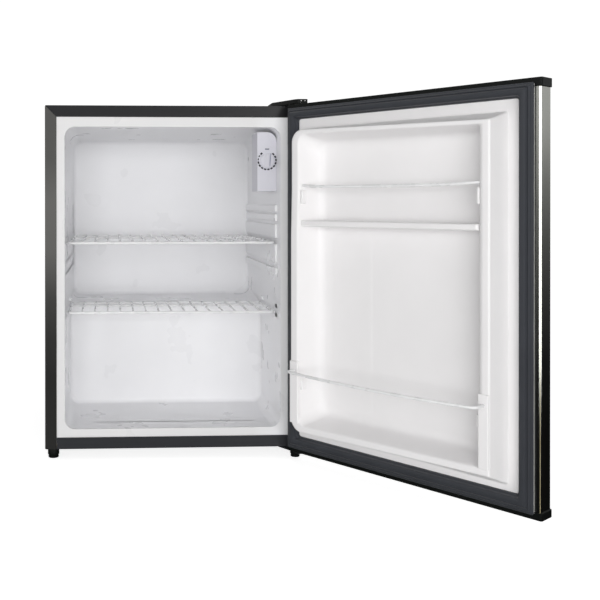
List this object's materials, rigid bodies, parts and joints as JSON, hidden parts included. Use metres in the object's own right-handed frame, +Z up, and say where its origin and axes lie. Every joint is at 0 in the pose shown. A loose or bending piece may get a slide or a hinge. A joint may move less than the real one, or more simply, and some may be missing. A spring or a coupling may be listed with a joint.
{
  "type": "mini fridge",
  "caption": "Compact single-door refrigerator: black steel cabinet, stainless door, white interior with compressor hump, wire shelves, thermostat dial and door bins.",
  "frame": {"origin": "on the floor, under the middle of the cabinet's front edge line: x = 0 is the cabinet's centre plane, y = 0 its front face, z = 0 the floor", "axes": "+X to the right as seen from the front (the hinge side), +Y from the front face to the back, +Z up; the door is modelled open by 127.4 degrees at rest"},
  "size_m": [0.7099, 0.8085, 0.622],
  "materials": {
    "aluminium": "satin",
    "black_enamel": "gloss",
    "black_plastic": "satin",
    "black_steel": "satin",
    "bright_steel": "polished",
    "copper": "satin",
    "door_liner_plastic": "satin",
    "foam": "matte",
    "gasket_rubber": "matte",
    "grey_plastic": "matte",
    "housing_plastic": "satin",
    "knob_plastic": "satin",
    "liner_plastic": "satin",
    "rubber": "matte",
    "stainless_steel": "satin",
    "tray_plastic": "matte",
    "white_coated_wire": "gloss",
    "zinc_steel": "satin"
  },
  "bodies": {
    "cabinet": {"back_panel": "black_steel", "base_plate": "zinc_steel", "bottom_hinge_bracket": "black_steel", "bottom_hinge_pin": "bright_steel", "bottom_hinge_screw_1": "bright_steel", "bottom_hinge_screw_2": "bright_steel", "cabinet_foam": "foam", "compressor": "black_enamel", "compressor_base": "zinc_steel", "compressor_bolt_1": "zinc_steel", "compressor_bolt_2": "zinc_steel", "compressor_bolt_3": "zinc_steel", "compressor_bolt_4": "zinc_steel", "condenser_left": "copper", "condenser_right": "copper", "cord_gland": "rubber", "discharge_line": "copper", "drip_tray": "tray_plastic", "evaporator_plate": "aluminium", "filter_drier": "copper", "foot_rear_left": "rubber", "foot_rear_right": "rubber", "front_rail": "black_steel", "grommet_1": "rubber", "grommet_2": "rubber", "grommet_3": "rubber", "grommet_4": "rubber", "inner_liner": "liner_plastic", "outer_shell": "black_steel", "relay_cover": "black_plastic", "suction_line": "copper", "thermostat_body": "zinc_steel", "thermostat_housing": "housing_plastic", "top_hinge_bracket": "zinc_steel", "top_hinge_cover": "black_plastic", "top_hinge_pin": "bright_steel", "top_hinge_screw_1": "bright_steel", "top_hinge_screw_2": "bright_steel"},
    "door": {"door_panel": "stainless_steel", "door_top_cap": "black_plastic", "door_bottom_cap": "black_plastic", "door_foam": "foam", "door_liner": "door_liner_plastic", "door_gasket": "gasket_rubber", "upper_bin_rail": "white_coated_wire", "lower_bin_rail": "white_coated_wire", "upper_hinge_bush": "grey_plastic", "lower_hinge_bush": "grey_plastic"},
    "upper_shelf": {"upper_shelf": "white_coated_wire"},
    "lower_shelf": {"lower_shelf": "white_coated_wire"},
    "thermostat_knob": {"thermostat_knob": "knob_plastic"},
    "foot_front_left": {"foot_front_left": "black_plastic"},
    "foot_front_right": {"foot_front_right": "black_plastic"}
  },
  "joints": [
    {"name": "door_hinge", "type": "hinge", "parent": "cabinet", "child": "door", "pos_m": [0.2115, -0.0272, 0.3], "axis": [0, 0, 1], "range_deg": [-127.4, 7.6]},
    {"name": "thermostat_turn", "type": "hinge", "parent": "cabinet", "child": "thermostat_knob", "pos_m": [0.171, 0.0308, 0.5205], "axis": [0, 1, 0], "range_deg": [0, 300]},
    {"name": "left_foot_turn", "type": "hinge", "parent": "cabinet", "child": "foot_front_left", "pos_m": [-0.209, 0.018, 0.009], "axis": [0, 0, 1], "range_deg": [0, 1800]},
    {"name": "right_foot_turn", "type": "hinge", "parent": "cabinet", "child": "foot_front_right", "pos_m": [0.2145, 0.003, 0.009], "axis": [0, 0, 1], "range_deg": [0, 1800]},
    {"name": "upper_shelf_slide", "type": "slide", "parent": "cabinet", "child": "upper_shelf", "axis": [0, -1, 0], "range_m": [-0.003, 0.0035]},
    {"name": "lower_shelf_slide", "type": "slide", "parent": "cabinet", "child": "lower_shelf", "axis": [0, -1, 0], "range_m": [-0.003, 0.0035]}
  ]
}
